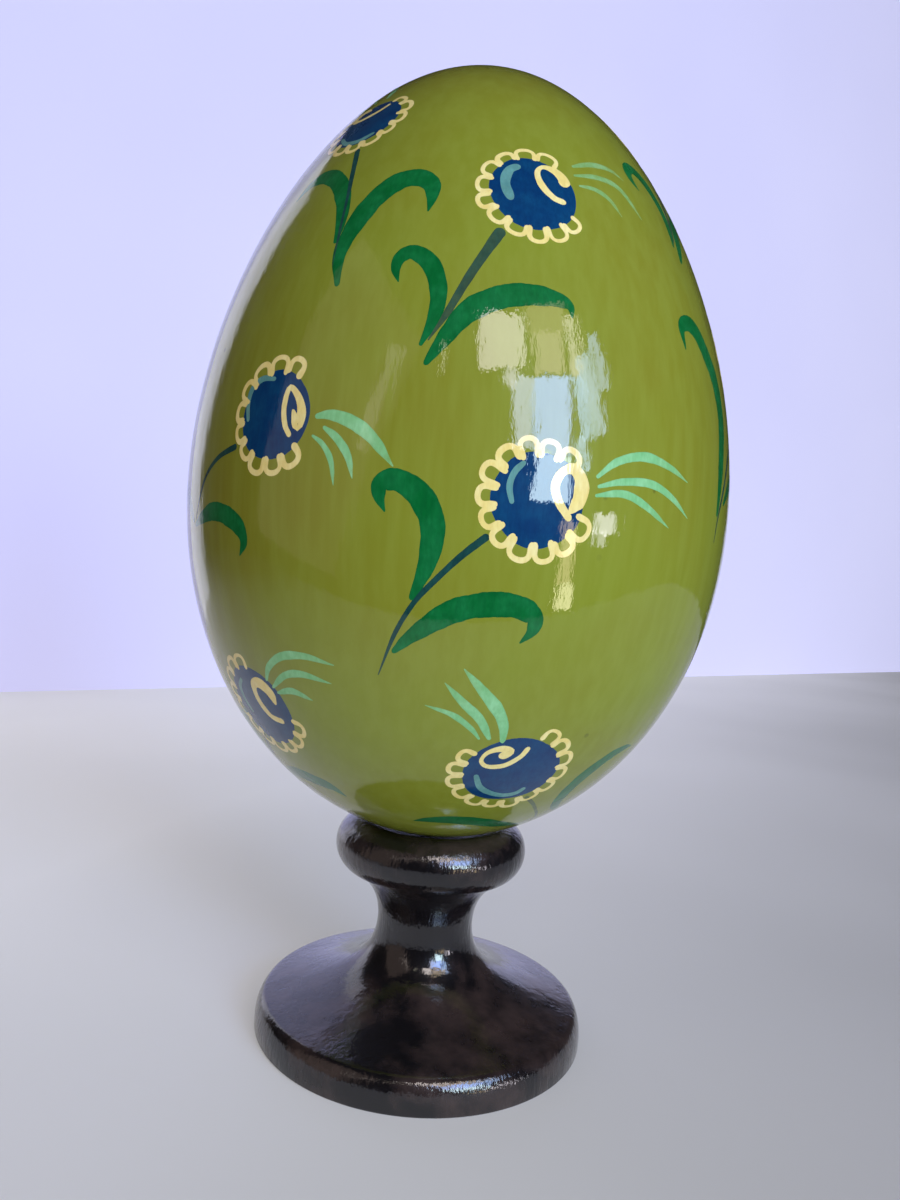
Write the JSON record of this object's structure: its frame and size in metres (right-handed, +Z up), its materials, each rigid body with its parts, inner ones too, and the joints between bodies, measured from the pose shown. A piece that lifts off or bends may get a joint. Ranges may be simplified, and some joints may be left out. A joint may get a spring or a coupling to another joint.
{
  "type": "painted wooden egg on a turned stand",
  "caption": "Lacquered wooden egg hand painted with folk flowers, resting loose in the cup of a small dark turned pedestal stand.",
  "frame": {"origin": "centre of the stand's flat underside", "axes": "+Z up along the axis that the stand and the egg were turned on; +X and +Y in the table plane, with -Y towards the painted flower that faces the viewer"},
  "size_m": [0.07, 0.07, 0.1265],
  "materials": {
    "stand_lacquer": "near-black stain under gloss lacquer",
    "egg_lacquer": "olive green ground with painted flowers under high-gloss lacquer",
    "navy_paint": "navy brush paint under high-gloss lacquer",
    "cream_paint": "cream brush paint under high-gloss lacquer",
    "teal_paint": "pale teal brush paint under high-gloss lacquer",
    "leaf_paint": "emerald brush paint under high-gloss lacquer",
    "mint_paint": "mint brush paint under high-gloss lacquer",
    "stem_paint": "dark teal brush paint under high-gloss lacquer"
  },
  "bodies": {
    "stand": {"stand": "stand_lacquer"},
    "egg": {"egg": "egg_lacquer"}
  },
  "joints": [
    {"name": "egg_lift", "type": "slide", "parent": "stand", "child": "egg", "axis": [0, 0, 1], "range_m": [0, 0.06]}
  ]
}
